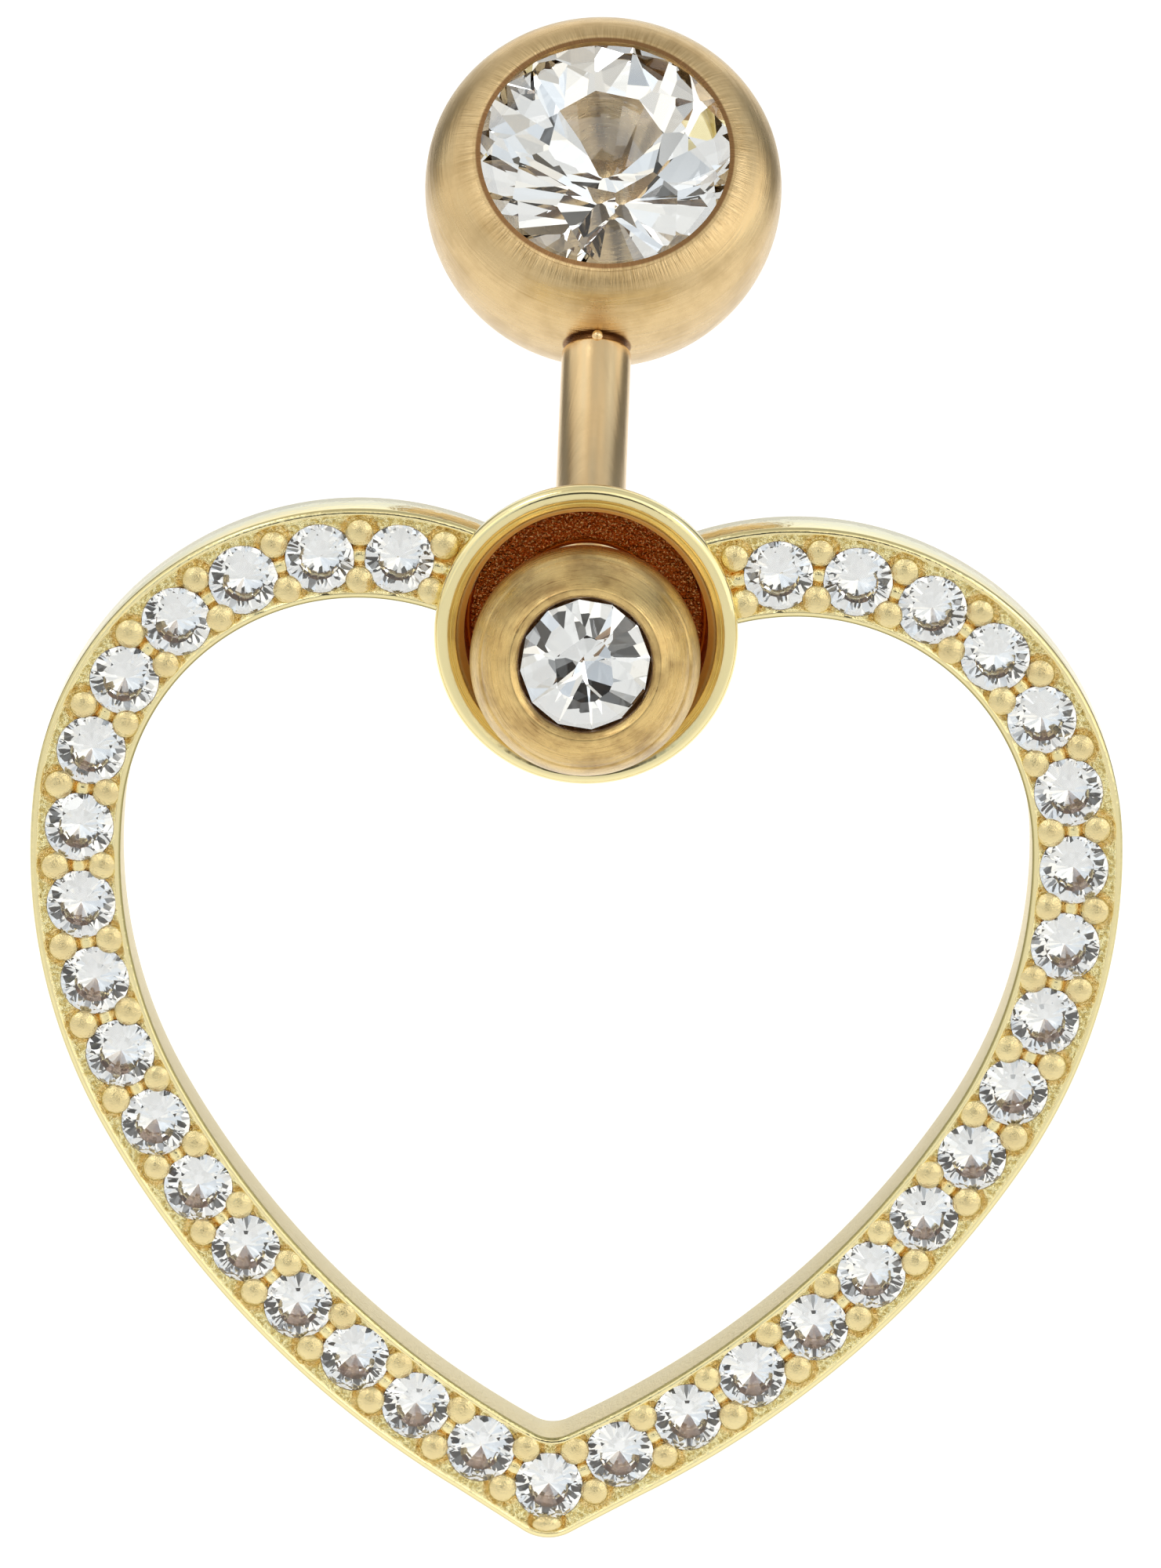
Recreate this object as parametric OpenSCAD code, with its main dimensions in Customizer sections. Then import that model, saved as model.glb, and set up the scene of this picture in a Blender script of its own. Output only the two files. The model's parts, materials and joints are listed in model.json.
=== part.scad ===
// Navel ring: a curved bar with a large gem ball at its upper end, and a small
// screw-on gem ball that holds an open heart charm by its round cup.
// Lengths are in millimetres and angles in degrees. +Z is up and the jewel faces -Y.
// The origin is the middle of the bar's bend, where the piercing sits.

/* [Bar] */
// Diameter of the bar (14 gauge)
stem_d = 1.6; // [1.2:0.1:2]
// Radius of the bar's bend, at its centre line
bend_r = 12; // [10:0.5:16]
// Angle through which the bar bends
bend_turn = 62.5; // [50:0.5:72]
// How far the screw end points up from the charm's face
front_tilt = 8; // [5:1:10]
// How much slimmer the threaded end is than the bar, on its radius
thread_relief = 0.02; // [0.01:0.01:0.1]
// How much slimmer the end in the large ball is than the bar, on its radius
spigot_relief = 0.2; // [0.1:0.05:0.3]
// How far the bar goes into the large ball
spigot_len = 1.2; // [0.8:0.1:1.3]
// How far the bar screws into the small ball
thread_len = 1.7; // [1:0.1:1.8]

/* [Large gem ball] */
// Diameter of the large ball
large_ball_d = 8.3; // [8:0.1:9]
// Height of the outer edge of its flattened face over the ball's centre
large_face_rise = 1.73; // [1.6:0.05:1.85]
// Height of the face's inner edge over its outer edge
large_lip_rise = 0.15; // [0.05:0.05:0.3]
// Diameter of the large stone
large_stone_d = 5.95; // [5.6:0.05:6.2]
// Depth of the large stone's girdle below the lip
large_girdle_drop = 0.5; // [0.3:0.05:0.6]

/* [Small gem ball] */
// Diameter of the small ball
small_ball_d = 5; // [4.8:0.1:5.2]
// Diameter of the flat lip on the small ball's face
small_lip_d = 3.34; // [3.1:0.02:3.6]
// Diameter of the small stone
small_stone_d = 2.8; // [2.6:0.05:2.9]
// Depth of the small stone's girdle below the lip
small_girdle_drop = 0.35; // [0.25:0.05:0.45]

/* [Cup] */
// Outer diameter of the cup
cup_d = 6.6; // [6.5:0.05:7]
// Thickness of the cup's wall
cup_wall = 0.47; // [0.35:0.02:0.5]
// Thickness of the cup's floor
floor_t = 0.4; // [0.3:0.05:0.6]
// Diameter of the hole in the floor that the bar passes through
floor_hole_d = 3.4; // [3.3:0.05:3.8]
// How far the cup's rim stands in front of the heart's face
rim_proud = 0.3; // [0.15:0.05:0.5]
// Rounding of the rim's outer edge
rim_round = 0.28; // [0.1:0.02:0.35]
// Chamfer on the rim's inner edge
rim_chamfer = 0.15; // [0.05:0.01:0.18]
// How much the cup's inside narrows below its rim, on its radius
throat_step = 0.15; // [0.05:0.01:0.16]
// Depth over which it narrows
throat_depth = 0.45; // [0.4:0.05:0.7]
// Length of the cup's straight outside wall behind the heart's face
cup_straight = 0.9; // [0.6:0.1:1.2]
// How much the cup narrows to the back, on its radius
cup_taper = 0.3; // [0.1:0.05:0.35]
// How far the small ball sits below the cup's centre
ball_drop = 0.4; // [0.3:0.02:0.44]
// How far the small ball's centre lies in front of the heart's face
ball_front = 0.95; // [0.9:0.05:1.2]

/* [Heart] */
// Slope of the heart's lower edges at the tip
tip_slope = 25; // [22:1:28]
// Slope of the heart's side where the long curve ends
side_end = 59; // [56:1:62]
// Slope of the heart's side where the shoulder curve ends
shoulder_end = 94; // [90:1:97]
// Radius of the heart's long lower curve
side_r = 21.2; // [20:0.2:22.6]
// Radius of the heart's shoulder curve
shoulder_r = 11.6; // [10.8:0.2:12.4]
// Radius of the heart's lobes
lobe_r = 6.1; // [5.8:0.1:6.5]
// Width of the frame outside the line of stones
frame_out = 1.06; // [1:0.02:1.2]
// Width of the frame inside the line of stones
frame_in = 0.92; // [0.9:0.02:1.1]
// Thickness of the frame from front to back
frame_t = 1.5; // [1.3:0.1:1.8]
// Width of the raised edges
edge_w = 0.15; // [0.1:0.01:0.17]
// Depth of the bed between the raised edges
bed_drop = 0.12; // [0.06:0.02:0.2]
// Radius of the rounded tip
tip_r = 1; // [0.8:0.05:1.2]
// Depth of the tip below the lowest stone's centre
tip_drop = 1.19; // [1.16:0.01:1.3]
// Radius of the rounded inner corner
vee_r = 0.8; // [0.5:0.05:1.2]
// Angle above level at which the heart's arms meet the cup
join_angle = 22.5; // [20:0.5:25]

/* [Stones and beads] */
// Diameter of the stones round the heart
stone_d = 1.5; // [1.35:0.05:1.55]
// Distance between neighbouring stones
stone_spacing = 1.733; // [1.7:0.01:1.85]
// Least distance from the last stone's centre to the cup's wall
end_room = 1.05; // [0.9:0.05:1.2]
// Depth of a stone's girdle below the heart's face
girdle_drop = 0.12; // [0.08:0.02:0.2]
// Clear way round each stone in its seat
seat_gap = 0.03; // [0.02:0.01:0.05]
// Diameter of the holding beads
bead_d = 0.62; // [0.5:0.02:0.66]
// Distance of a bead's centre from the line of stones
bead_offset = 0.52; // [0.48:0.02:0.56]
// Height of a bead's centre over the bed
bead_rise = 0.02; // [0:0.02:0.12]

/* [Fits] */
// Clear way round the bar in the large ball's socket
spigot_gap = 0.02; // [0.01:0.01:0.04]
// Clear way round the bar in the small ball's thread
thread_gap = 0.05; // [0.03:0.01:0.08]
// Clear way between the small ball and the cup's floor
floor_gap = 0.1; // [0.06:0.02:0.2]
// Clear way at the bottom of each drilled hole
end_gap = 0.15; // [0.1:0.05:0.2]

/* [Hidden] */
$fn = 64;
// A round brilliant's proportions, as shares of its diameter
table_share = 0.56;
crown_share = 0.15;
girdle_share = 0.03;
pavilion_share = 0.42;
facets = 8;
// Width of a drilled seat's bottom, as a share of its mouth
seat_tip_share = 0.08;
// Longest step along the heart's edges, steps in its rounded corners, and turn in the rim's round
edge_step = 0.75;
corner_steps = 4;
round_turn = 18;

large_r = large_ball_d / 2;
small_r = small_ball_d / 2;
cup_r = cup_d / 2;
cup_in_r = cup_r - cup_wall;
// The heart's arms run on into the cup's wall and stop halfway through it
join_r = cup_r - cup_wall / 2;
stem_r = stem_d / 2;
thread_r = stem_r - thread_relief;
spigot_r = stem_r - spigot_relief;
socket_r = spigot_r + spigot_gap;

// The bar: slopes at its two ends, and the places that follow from them
slope_front = -front_tilt;
slope_back = bend_turn - front_tilt;
slope_mid = (slope_front + slope_back) / 2;
function bar_point(slope) = bend_r * [0, sin(slope) - sin(slope_mid), cos(slope_mid) - cos(slope)];
function ahead(slope) = [0, cos(slope), sin(slope)];

// The cup's depth follows the small ball; the straight end of the bar follows the cup
cup_floor = small_r - ball_front + floor_gap;
cup_back = cup_floor + floor_t;
straight_len = (cup_back + ball_front) / cos(front_tilt) + end_gap;
small_centre = bar_point(slope_front) - straight_len * ahead(slope_front);
face_y = small_centre[1] + ball_front;
cup_z = small_centre[2] + ball_drop;
thread_start = small_r - thread_len;

// The bar's shoulder stands a hair clear of the large ball, which leaves a fine seam
large_sink = sqrt(large_r * large_r - socket_r * socket_r) + spigot_gap;
large_centre = bar_point(slope_back) + large_sink * ahead(slope_back);
large_face_r = sqrt(large_r * large_r - large_face_rise * large_face_rise);
large_lip = large_face_rise + large_lip_rise;
large_seat_r = large_stone_d / 2 + seat_gap;
large_girdle = large_lip - large_girdle_drop;

small_lip = sqrt(small_r * small_r - small_lip_d * small_lip_d / 4);
small_seat_r = small_stone_d / 2 + seat_gap;
small_girdle = small_lip - small_girdle_drop;

// The heart's centre line, from the lowest stone up the right side: three arcs
function along(p, r, from, to) = p + r * [sin(to) - sin(from), cos(from) - cos(to)];
side_len = side_r * (side_end - tip_slope) * PI / 180;
side_top = along([0, 0], side_r, tip_slope, side_end);
shoulder_len = shoulder_r * (shoulder_end - side_end) * PI / 180;
shoulder_top = along(side_top, shoulder_r, side_end, shoulder_end);
// The lobe's arc meets the cup's wall, and its arm runs on a little further
join_x = join_r * cos(join_angle);
lobe_end = 180 - asin(sin(shoulder_end) + (join_x - shoulder_top[0]) / lobe_r);
lobe_len = lobe_r * (lobe_end - shoulder_end) * PI / 180;
line_len = side_len + shoulder_len + lobe_len;
arm_len = line_len + cup_wall / 2;
lobe_foot = along(shoulder_top, lobe_r, shoulder_end, lobe_end);
// Height of the cup's centre over the lowest stone
cup_rise = lobe_foot[1] - join_r * sin(join_angle);

function slope_at(s) =
    s < side_len ? tip_slope + s / side_r * 180 / PI
    : s < side_len + shoulder_len ? side_end + (s - side_len) / shoulder_r * 180 / PI
    : shoulder_end + (s - side_len - shoulder_len) / lobe_r * 180 / PI;
function point_at(s) =
    s < side_len ? along([0, 0], side_r, tip_slope, slope_at(s))
    : s < side_len + shoulder_len ? along(side_top, shoulder_r, side_end, slope_at(s))
    : along(shoulder_top, lobe_r, shoulder_end, slope_at(s));
// A point beside the line: w is positive to the outside of the heart
function beside(s, w) = point_at(s) + w * [sin(slope_at(s)), -cos(slope_at(s))];

// The right half of an edge that runs w outside the line, from the tip up to the cup
edge_steps = ceil(arm_len / edge_step);
function outer_edge(w, inset) = concat(
    [for (k = [0 : corner_steps]) let (a = tip_slope * k / corner_steps)
        [(tip_r - inset) * sin(a), tip_r - tip_drop - (tip_r - inset) * cos(a)]],
    [for (k = [0 : edge_steps]) beside(stone_spacing + (arm_len - stone_spacing) * k / edge_steps, w)]);
// The right half of an edge that runs w inside the line, from its corner up to the cup
function inner_edge(w) =
    let (from = (w + vee_r) * tan(tip_slope), up = (w + vee_r) / cos(tip_slope))
    concat(
        [for (k = [0 : corner_steps]) let (a = tip_slope * k / corner_steps)
            [vee_r * sin(a), up - vee_r * cos(a)]],
        [for (k = [1 : edge_steps]) beside(from + (arm_len - from) * k / edge_steps, -w)]);
// Both halves of an edge, from the cup down its left side and up its right
function both_sides(half) = concat(
    [for (k = [len(half) - 1 : -1 : 1]) [-half[k][0], half[k][1]]],
    half);
function backwards(points) = [for (k = [len(points) - 1 : -1 : 0]) points[k]];
function band(outer, inner) = concat(both_sides(outer), backwards(both_sides(inner)));

// Stones on each side of the lowest one, and their numbers from the left end to the right
side_count = floor((line_len - end_room) / stone_spacing);
stone_count = 2 * side_count + 1;
function stone_name(i) = str("heart_stone_", i < 10 ? "0" : "", i);
function stone_at(i) =
    let (k = i - 1 - side_count, p = point_at(abs(k) * stone_spacing)) [p[0] * sign(k), p[1]];

// A ring of points at one height, for a stone's outline
function ring(r, count, z) = [for (i = [0 : count - 1])
    let (a = i * 360 / count) [r * cos(a), r * sin(a), z]];

// A round brilliant with its table up and its girdle's middle at height 0
module cut_stone(d) {
    half = girdle_share * d / 2;
    rim = 2 * facets;
    points = concat(
        ring(table_share * d / 2, facets, half + crown_share * d),
        ring(d / 2, rim, half),
        ring(d / 2, rim, -half),
        [[0, 0, -half - pavilion_share * d]]);
    upper = facets;
    lower = upper + rim;
    culet = lower + rim;
    table = [[for (i = [facets - 1 : -1 : 0]) i]];
    crown = [for (i = [0 : facets - 1]) each [
        [i, upper + 2 * i, upper + (2 * i + rim - 1) % rim],
        [i, upper + 2 * i + 1, upper + 2 * i],
        [i, (i + 1) % facets, upper + 2 * i + 1]]];
    girdle = [for (i = [0 : rim - 1]) [upper + i, upper + (i + 1) % rim, lower + (i + 1) % rim, lower + i]];
    pavilion = [for (i = [0 : rim - 1]) [lower + i, lower + (i + 1) % rim, culet]];
    polyhedron(points = points, faces = concat(table, crown, girdle, pavilion));
}

// The hollow that a stone sits in, open upwards as far as reach
module stone_seat(d, reach) {
    r = d / 2 + seat_gap;
    half = girdle_share * d / 2 + seat_gap;
    depth = pavilion_share * d + seat_gap;
    translate([0, 0, -half]) cylinder(r = r, h = reach + half);
    translate([0, 0, -half - depth]) cylinder(r1 = seat_tip_share * r, r2 = r, h = depth);
}

module in_large_ball() translate(large_centre) rotate([slope_back, 0, 0]) children();
module in_small_ball() translate(small_centre) rotate([90 - front_tilt, 0, 0]) children();
// Places a shape drawn flat, facing up, on the charm's face, measured from the cup's centre
module on_face() translate([0, face_y, cup_z]) rotate([90, 0, 0]) children();
module at_stone(i) on_face() translate([stone_at(i)[0], stone_at(i)[1] - cup_rise, 0]) children();

// One of the bar's slimmer straight ends, which starts a little way inside the bend
module bar_end(at, turn, r, length) {
    root = r / 4;
    translate(at) rotate([turn, 0, 0]) translate([0, 0, -root]) cylinder(r = r, h = length + root);
}

module stem() {
    color("darkgoldenrod") {
        translate([0, -bend_r * sin(slope_mid), bend_r * cos(slope_mid)]) rotate([0, 90, 0])
            rotate_extrude(angle = bend_turn, start = slope_front) translate([bend_r, 0]) circle(r = stem_r);
        bar_end(bar_point(slope_front), 90 - front_tilt, thread_r, straight_len - thread_start);
        bar_end(bar_point(slope_back), slope_back - 90, spigot_r, spigot_len);
    }
}

module large_ball() {
    color("goldenrod") in_large_ball() difference() {
        sphere(r = large_r);
        // The flattened face, a shallow cone that rises to the lip
        difference() {
            translate([0, 0, large_face_rise]) cylinder(r = large_r, h = large_r);
            translate([0, 0, large_face_rise])
                cylinder(r1 = large_face_r, r2 = large_seat_r, h = large_lip_rise);
        }
        translate([0, 0, large_girdle]) stone_seat(large_stone_d, large_r);
        // The socket that the bar is pressed into
        translate([0, -large_sink + spigot_len + end_gap, 0]) rotate([90, 0, 0])
            cylinder(r = socket_r, h = large_r);
    }
}

module large_stone() {
    color("white") in_large_ball() translate([0, 0, large_girdle]) cut_stone(large_stone_d);
}

module small_ball() {
    mouth = small_girdle + girdle_share * small_stone_d;
    color("goldenrod") in_small_ball() difference() {
        sphere(r = small_r);
        translate([0, 0, small_lip]) cylinder(r = small_r, h = small_r);
        // The seat's mouth slopes in from the lip
        translate([0, 0, mouth]) cylinder(r1 = small_seat_r, r2 = small_lip_d / 2, h = small_lip - mouth);
        translate([0, 0, small_girdle]) stone_seat(small_stone_d, small_r);
        // The threaded hole for the bar, as a plain bore
        translate([0, 0, -2 * small_r])
            cylinder(r = thread_r + thread_gap, h = 2 * small_r - thread_start + end_gap);
    }
}

module small_stone() {
    color("white") in_small_ball() translate([0, 0, small_girdle]) cut_stone(small_stone_d);
}

// The cup's section, with its radius across and its height over the heart's face up
module cup() {
    mouth = rim_proud - rim_chamfer;
    throat_r = cup_in_r - throat_step;
    round_centre = [cup_r - rim_round, rim_proud - rim_round];
    rotate_extrude() polygon(concat(
        [[floor_hole_d / 2, -cup_floor], [throat_r, -cup_floor]],
        [[throat_r, mouth - throat_depth], [cup_in_r, mouth], [cup_in_r + rim_chamfer, rim_proud]],
        [for (a = [90 : -round_turn : 0]) round_centre + rim_round * [cos(a), sin(a)]],
        [[cup_r, -cup_straight], [cup_r - cup_taper, -cup_back], [floor_hole_d / 2, -cup_back]]));
}

module beads() {
    for (side = [-1, 1], k = [0 : side_count], w = [-bead_offset, bead_offset]) {
        p = beside(min((k + 0.5) * stone_spacing, line_len - bead_d / 2), w);
        translate([side * p[0], p[1], bead_rise - bed_drop]) sphere(d = bead_d);
    }
    translate([0, -tip_drop + bead_d / 2 + edge_w / 2, bead_rise - bed_drop]) sphere(d = bead_d);
}

// The heart's outline from the front, its back at -frame_t, with the bed sunk between its raised edges
module arms() {
    translate([0, 0, -frame_t]) difference() {
        linear_extrude(frame_t) polygon(band(outer_edge(frame_out, 0), inner_edge(frame_in)));
        translate([0, 0, frame_t - bed_drop]) linear_extrude(frame_t)
            polygon(band(outer_edge(frame_out - edge_w, edge_w), inner_edge(frame_in - edge_w)));
    }
}

// The heart's frame and its cup are one casting
module heart_frame() {
    color("khaki") on_face() {
        difference() {
            translate([0, -cup_rise, 0]) {
                arms();
                beads();
            }
            translate([0, 0, -2 * frame_t]) cylinder(r = join_r, h = 3 * frame_t);
            for (i = [1 : stone_count])
                translate([stone_at(i)[0], stone_at(i)[1] - cup_rise, -girdle_drop])
                    stone_seat(stone_d, rim_proud + stone_d);
        }
        cup();
    }
}

module heart_stone(i) {
    color("white") at_stone(i) translate([0, 0, -girdle_drop]) cut_stone(stone_d);
}

stem();
large_ball();
large_stone();
small_ball();
small_stone();
heart_frame();
for (i = [1 : stone_count])
    heart_stone(i);
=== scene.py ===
# %% [markdown]
# A navel ring with an open heart charm
# The jewel is a curved bar with a large gem ball at the top, and a small gem ball that screws
# on in front and holds a heart set with thirty-five stones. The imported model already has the
# right sizes, so this lesson only gives each piece its fine shape and its finish. Everything
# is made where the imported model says, and rides on the body that carries it.

import json
import math

import bmesh
import bpy
import numpy as np
from mathutils import Matrix, Vector


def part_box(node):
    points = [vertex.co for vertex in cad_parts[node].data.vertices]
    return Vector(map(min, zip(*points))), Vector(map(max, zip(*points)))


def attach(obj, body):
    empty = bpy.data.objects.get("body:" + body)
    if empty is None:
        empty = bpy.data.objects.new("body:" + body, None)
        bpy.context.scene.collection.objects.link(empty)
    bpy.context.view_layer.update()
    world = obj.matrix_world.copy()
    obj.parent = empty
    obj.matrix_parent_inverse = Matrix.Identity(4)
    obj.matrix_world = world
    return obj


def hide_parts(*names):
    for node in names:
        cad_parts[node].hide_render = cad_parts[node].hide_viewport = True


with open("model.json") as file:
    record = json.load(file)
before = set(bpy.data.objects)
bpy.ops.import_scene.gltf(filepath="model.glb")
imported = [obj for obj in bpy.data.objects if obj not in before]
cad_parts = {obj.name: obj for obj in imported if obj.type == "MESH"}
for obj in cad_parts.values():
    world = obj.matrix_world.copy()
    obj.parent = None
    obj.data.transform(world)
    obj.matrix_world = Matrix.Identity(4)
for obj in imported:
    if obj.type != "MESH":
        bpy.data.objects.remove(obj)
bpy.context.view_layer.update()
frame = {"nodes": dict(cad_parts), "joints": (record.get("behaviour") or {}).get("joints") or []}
MM = 0.001

# %% [markdown]
# Where the pieces are
# The heart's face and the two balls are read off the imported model. The large ball's middle
# follows from the sides of its box that are still round, and the small ball's middle is the
# point that the charm swivels about.

# %% Read the main places, in millimetres
front_tilt = math.radians(8)
bend_turn = math.radians(62.5)
rim_proud = 0.3
cup_centre_rise = 0.4


def box_mm(node):
    low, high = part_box(node)
    return np.array(low) / MM, np.array(high) / MM


heart_low, _ = box_mm("heart_frame")
face_y = heart_low[1] + rim_proud
swivel = next(j for j in frame["joints"] if j["name"] == "charm_swivel")
small_centre = np.array(swivel["pos_m"]) / MM
cup_centre = np.array([0, face_y, small_centre[2] + cup_centre_rise])
ball_low, ball_high = box_mm("large_ball")
large_r = (ball_high[0] - ball_low[0]) / 2
large_centre = np.array([0, ball_high[1] - large_r, ball_low[2] + large_r])
small_low, small_high = box_mm("small_ball")
small_r = (small_high[0] - small_low[0]) / 2
print("face", face_y, "cup", cup_centre, "large ball", large_centre, "small ball", small_centre)

# %% [markdown]
# Helpers for meshes
# Jewellery is turned, cast and cut to exact shapes, so most pieces here are a grid or a turned
# profile worked out in code. These helpers turn points in millimetres into closed meshes.

# %% Meshes and pieces


def turned_to(axis_tilt, centre):
    """Stands a shape drawn along +Z on an axis that leans axis_tilt from straight up."""
    return Matrix.Translation(Vector(centre)) @ Matrix.Rotation(axis_tilt, 4, "X")


def finished(mesh, sharp, join=0.0):
    """Turns the faces outwards and keeps edges sharper than sharp degrees crisp."""
    work = bmesh.new()
    work.from_mesh(mesh)
    if join:
        bmesh.ops.remove_doubles(work, verts=work.verts, dist=join)
    bmesh.ops.recalc_face_normals(work, faces=work.faces)
    work.to_mesh(mesh)
    work.free()
    mesh.shade_smooth()
    mesh.set_sharp_from_angle(angle=math.radians(sharp))
    return mesh


def make_mesh(name, points, faces, place=None, sharp=50):
    """A closed mesh from points in millimetres."""
    mesh = bpy.data.meshes.new(name)
    mesh.from_pydata([tuple(p) for p in points], [], faces)
    if place is not None:
        mesh.transform(place)
    mesh.transform(Matrix.Scale(MM, 4))
    return finished(mesh, sharp)


def set_number(mesh, name, values, kind="FLOAT", field="value"):
    """Stores a number or a vector at each point, for a material or a tree to read."""
    values = np.array(values, np.float32).ravel()
    mesh.attributes.new(name, kind, "POINT").data.foreach_set(field, values)


def placed(name, data):
    """A new object in the scene."""
    thing = bpy.data.objects.new(name, data)
    bpy.context.scene.collection.objects.link(thing)
    return thing


def add_piece(name, mesh, material, body, slot, *nodes):
    """Puts a mesh in the scene as a piece that rides on a body and stands for some nodes."""
    piece = placed(name, mesh)
    mesh.materials.clear()
    for each in material if isinstance(material, list) else [material]:
        mesh.materials.append(each)
    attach(piece, body)
    if nodes:
        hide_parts(*nodes)
    print(f"{name}: {len(mesh.vertices)} points, {len(mesh.polygons)} faces, rides on {body}")

# %% Turned shapes


def arc(centre_r, centre_h, radius, start, end, steps):
    """Points on a round, as (radius, height), from one angle to another in degrees."""
    turns = np.radians(np.linspace(start, end, steps))
    return [(centre_r + radius * math.cos(t), centre_h + radius * math.sin(t)) for t in turns]


def turned(profile, segments):
    """Spins a profile of (radius, height) about +Z. A radius of 0 closes it with a point."""
    points, rings, faces = [], [], []
    for radius, height in profile:
        if radius < 1e-6:
            rings.append([len(points)] * segments)
            points.append((0, 0, height))
            continue
        rings.append(list(range(len(points), len(points) + segments)))
        for k in range(segments):
            t = 2 * math.pi * k / segments
            points.append((radius * math.cos(t), radius * math.sin(t), height))
    pairs = list(zip(rings, rings[1:]))
    if profile[0][0] > 1e-6:
        pairs.append((rings[-1], rings[0]))
    for one, two in pairs:
        for k in range(segments):
            after = (k + 1) % segments
            corner = [one[k], one[after], two[after], two[k]]
            faces.append(tuple(dict.fromkeys(corner)))
    return points, faces


def add_turned(name, profile, segments, place, material, body, slot, *nodes):
    """Spins a profile, stands it in its place and adds it as a piece."""
    points, faces = turned(profile, segments)
    add_piece(name, make_mesh(name, points, faces, place), material, body, slot, *nodes)

# %% [markdown]
# Helpers for node trees
# Both materials and Geometry Nodes are trees of nodes. One small class wraps a socket: sums
# written with it add Math nodes, and node() makes any other node from its kind, its settings
# and the values of its sockets.

# %% One class for sockets


def connect(tree, value, socket):
    """Links a wire to a socket, or writes a plain value there."""
    if isinstance(value, Wire):
        tree.links.new(value.socket, socket)
    else:
        socket.default_value = value


class Wire:
    """A socket of a node tree, or the bare tree when there is no socket yet."""

    def __init__(self, tree, socket=None):
        self.tree = tree
        self.socket = socket

    def node(self, kind, settings=None, values=None, output=0):
        made = self.tree.nodes.new(kind)
        for name, value in (settings or {}).items():
            setattr(made, name, value)
        for name, value in (values or {}).items():
            connect(self.tree, value, made.inputs[name])
        return Wire(self.tree, made.outputs[output])

    def maths(self, operation, *values):
        return self.node("ShaderNodeMath", {"operation": operation}, dict(enumerate(values)))

    def step(self, low, high):
        """0 below low, 1 above high, and a soft step between."""
        values = {"Value": self, "From Min": low, "From Max": high}
        return self.node("ShaderNodeMapRange", {"interpolation_type": "SMOOTHSTEP"}, values)

    def mix(self, one, two):
        """Mixes two colours, by this wire's share of the second."""
        settings = {"data_type": "RGBA"}
        return self.node("ShaderNodeMix", settings, {0: self, 6: one, 7: two}, output=2)

    def vector(self, x, y, z):
        return self.node("ShaderNodeCombineXYZ", values={0: x, 1: y, 2: z})

    def parts(self):
        return [self.node("ShaderNodeSeparateXYZ", values={0: self}, output=n) for n in range(3)]

    def leave(self, kind):
        """Ends the tree with an output node, and returns the tree."""
        connect(self.tree, self, self.tree.nodes.new(kind).inputs[0])
        return self.tree


for sign, operation in (("add", "ADD"), ("sub", "SUBTRACT"), ("mul", "MULTIPLY"), ("truediv", "DIVIDE")):
    setattr(Wire, f"__{sign}__", lambda self, other, op=operation: self.maths(op, self, other))
    setattr(Wire, f"__r{sign}__", lambda self, other, op=operation: self.maths(op, other, self))

# %% Helpers for materials


def shader(name):
    """A new material's bare wire, and a function that feeds its main shader and returns it."""
    material = bpy.data.materials.new(name)
    material.use_nodes = True
    tree = material.node_tree
    main = tree.nodes["Principled BSDF"]

    def feed(**values):
        for key, value in values.items():
            connect(tree, value, main.inputs[key.replace("_", " ")])
        return material

    return Wire(tree), feed


def spot_mm(start):
    """Object coordinates in millimetres."""
    place = start.node("ShaderNodeTexCoord", output="Object")
    return start.node("ShaderNodeVectorMath", {"operation": "SCALE"}, {0: place, "Scale": 1 / MM})


def noise(start, place, scale, detail=2.0, rough=0.5):
    values = {"Vector": place, "Scale": scale, "Detail": detail, "Roughness": rough}
    return start.node("ShaderNodeTexNoise", values=values)


def bump(start, height, depth_mm, strength=1.0, normal=None):
    values = {"Height": height, "Distance": depth_mm * MM, "Strength": strength}
    if normal is not None:
        values["Normal"] = normal
    return start.node("ShaderNodeBump", values=values)


def around_axis(start, centre, tilt):
    """Millimetre coordinates whose Z runs along a gem's axis, as three wires, and the reach from it."""
    values = {"Vector": spot_mm(start), "Location": tuple(centre), "Rotation": (tilt, 0, 0)}
    parts = start.node("ShaderNodeMapping", {"vector_type": "TEXTURE"}, values).parts()
    return parts, start.maths("SQRT", parts[0] * parts[0] + parts[1] * parts[1])

# %% [markdown]
# Polished gold plating
# The heart is brass with a light lemon gold plating, polished bright on the raised edges and
# sandy in the bed between. One material does both: numbers at each point say how much of it is
# bed, groove, seat, wall, bead, edge line or back, and the material mixes its looks by them.
# The grooves and seats get painted shade, and the edge line is a painted dark reflection.

# %% Make the plating, with painted shade in grooves and seats and a painted edge reflection
LEMON = (0.93, 0.82, 0.46, 1)
SANDY_LEMON = (1.0, 0.93, 0.56, 1)
SANDY_SHADE = (0.68, 0.54, 0.20, 1)
BACK_LEMON = (0.80, 0.66, 0.34, 1)
DEEP_LEMON = (0.50, 0.31, 0.12, 1)
ROSY_LEMON = (0.83, 0.71, 0.43, 1)
# Painted shade in the stones' seats, seen through the stones.
PAINTED_SEAT_SHADE_BROWN = (0.42, 0.26, 0.17, 1)
# Painted orange shade in the grooves round the beads.
PAINTED_GROOVE_SHADE_GOLD = (0.95, 0.58, 0.14, 1)
# A painted dark reflection along the rounded edges.
PAINTED_EDGE_REFLECTION_OLIVE = (0.30, 0.26, 0.10, 1)


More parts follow.
